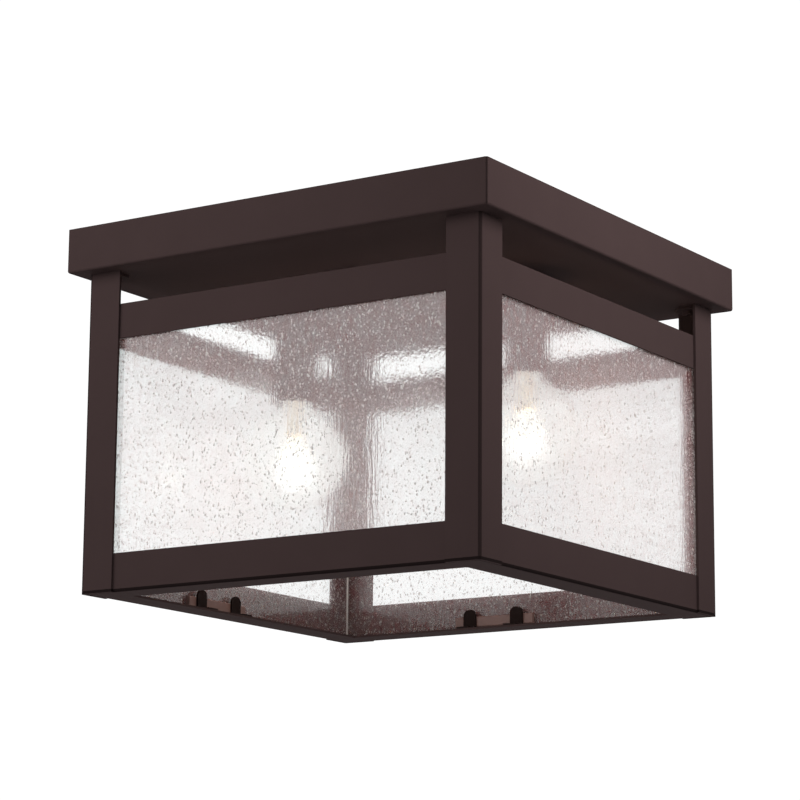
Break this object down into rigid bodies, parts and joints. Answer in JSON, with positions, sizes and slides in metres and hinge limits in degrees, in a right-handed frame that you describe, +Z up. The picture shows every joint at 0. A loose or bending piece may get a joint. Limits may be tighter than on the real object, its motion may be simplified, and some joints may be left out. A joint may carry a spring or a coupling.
{
  "type": "flush mount ceiling light",
  "caption": "Square lantern ceiling light with a tray canopy, L-angle corner posts, seeded glass panes, open bottom and screw-in globe lamps.",
  "frame": {"origin": "centre of the ceiling plane, midway between the strap's slots", "axes": "+Z up into the ceiling, -Y to the front, +X to the right; the light hangs into -Z"},
  "size_m": [0.267, 0.267, 0.199],
  "materials": {
    "bronze_paint": "dark bronze, semi-gloss paint",
    "pad_rubber": "smooth brown",
    "seeded_glass": "clear with fine bubbles",
    "lamp_glass": "clear, smooth",
    "brass": "bright",
    "phenolic": "black, moulded",
    "black_insulator": "black, glassy",
    "filament": "bright wire",
    "black_insulation": "smooth",
    "white_insulation": "smooth",
    "connector_plastic": "moulded",
    "green_screw": "green",
    "zinc_steel": "zinc plated"
  },
  "bodies": {
    "fixture": {"black_lead_left": "black_insulation", "black_lead_right": "black_insulation", "bottom_rail_back": "bronze_paint", "bottom_rail_front": "bronze_paint", "bottom_rail_left": "bronze_paint", "bottom_rail_right": "bronze_paint", "canopy": "bronze_paint", "cap_nuts": "bronze_paint", "corner_post_back_left": "bronze_paint", "corner_post_back_right": "bronze_paint", "corner_post_front_left": "bronze_paint", "corner_post_front_right": "bronze_paint", "earth_screw": "green_screw", "glass_back": "seeded_glass", "glass_clips": "bronze_paint", "glass_front": "seeded_glass", "glass_left": "seeded_glass", "glass_pad_back": "pad_rubber", "glass_pad_front": "pad_rubber", "glass_pad_left": "pad_rubber", "glass_pad_right": "pad_rubber", "glass_right": "seeded_glass", "holder_bracket_left": "zinc_steel", "holder_bracket_right": "zinc_steel", "holder_contact_left": "brass", "holder_contact_right": "brass", "lamp_nipples": "zinc_steel", "lampholder_left": "phenolic", "lampholder_right": "phenolic", "mounting_strap": "zinc_steel", "nipple_nuts": "zinc_steel", "post_nuts": "zinc_steel", "post_screws": "bronze_paint", "screw_shell_left": "brass", "screw_shell_right": "brass", "socket_sleeve_left": "bronze_paint", "socket_sleeve_right": "bronze_paint", "strap_studs": "zinc_steel", "stud_nuts": "zinc_steel", "top_rail_back": "bronze_paint", "top_rail_front": "bronze_paint", "top_rail_left": "bronze_paint", "top_rail_right": "bronze_paint", "white_lead_left": "white_insulation", "white_lead_right": "white_insulation", "wire_connectors": "connector_plastic"},
    "lamp_left_tip": {"lamp_tip_left": "brass"},
    "lamp_left": {"lamp_insulator_left": "black_insulator", "lamp_cap_left": "brass", "lamp_globe_left": "lamp_glass", "lamp_stem_left": "lamp_glass", "lamp_filament_left": "filament"},
    "lamp_right_tip": {"lamp_tip_right": "brass"},
    "lamp_right": {"lamp_insulator_right": "black_insulator", "lamp_cap_right": "brass", "lamp_globe_right": "lamp_glass", "lamp_stem_right": "lamp_glass", "lamp_filament_right": "filament"}
  },
  "joints": [
    {"name": "lamp_left_travel", "type": "slide", "parent": "fixture", "child": "lamp_left_tip", "axis": [0, 0, -1], "range_m": [0, 0.01016]},
    {"name": "lamp_left_turn", "type": "hinge", "parent": "lamp_left_tip", "child": "lamp_left", "pos_m": [-0.0745, 0, -0.1], "axis": [0, 0, -1], "range_deg": [0, 1440]},
    {"name": "lamp_right_travel", "type": "slide", "parent": "fixture", "child": "lamp_right_tip", "axis": [0, 0, -1], "range_m": [0, 0.01016]},
    {"name": "lamp_right_turn", "type": "hinge", "parent": "lamp_right_tip", "child": "lamp_right", "pos_m": [0.0745, 0, -0.1], "axis": [0, 0, -1], "range_deg": [0, 1440]}
  ],
  "couplings": [
    {"joint": "lamp_left_travel", "follows": "lamp_left_turn", "m_per_rad": 0.00040425},
    {"joint": "lamp_right_travel", "follows": "lamp_right_turn", "m_per_rad": 0.00040425}
  ]
}
